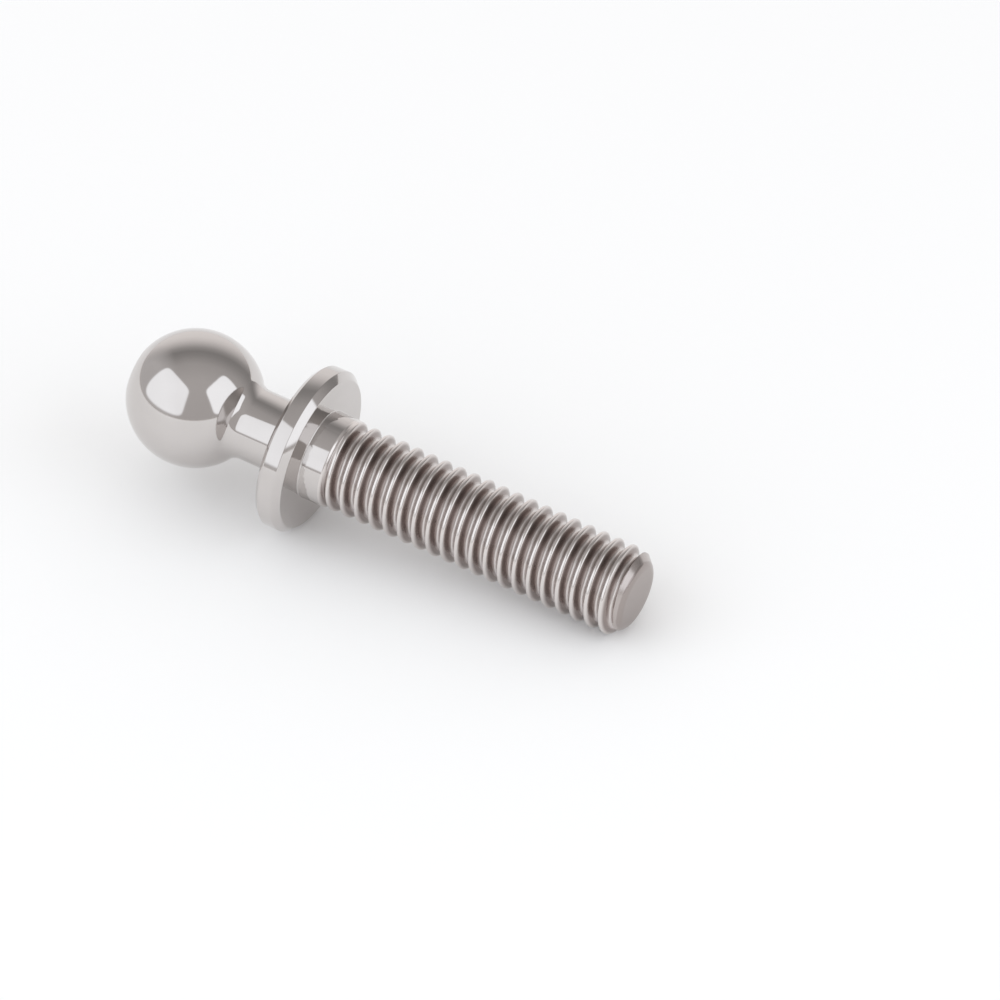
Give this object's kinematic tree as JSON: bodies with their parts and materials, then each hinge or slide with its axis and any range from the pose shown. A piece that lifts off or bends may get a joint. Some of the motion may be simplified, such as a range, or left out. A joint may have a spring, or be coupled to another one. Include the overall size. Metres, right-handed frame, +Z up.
{
  "type": "threaded ball stud",
  "caption": "One-piece titanium ball stud: a polished ball on a short neck, a thin round flange and a metric threaded shank, for carrying a linkage's ball cup.",
  "frame": {"origin": "middle of the stud's box, on the surface that it lies on", "axes": "+Z up; +X along the stud as it lies, from the ball to the threaded tip"},
  "size_m": [0.0244, 0.0074, 0.0074],
  "materials": {
    "titanium": "bare titanium, polished on the ball, neck and flange, and bright as turned on the thread"
  },
  "bodies": {
    "root": {"ball_stud": "titanium"}
  },
  "joints": []
}
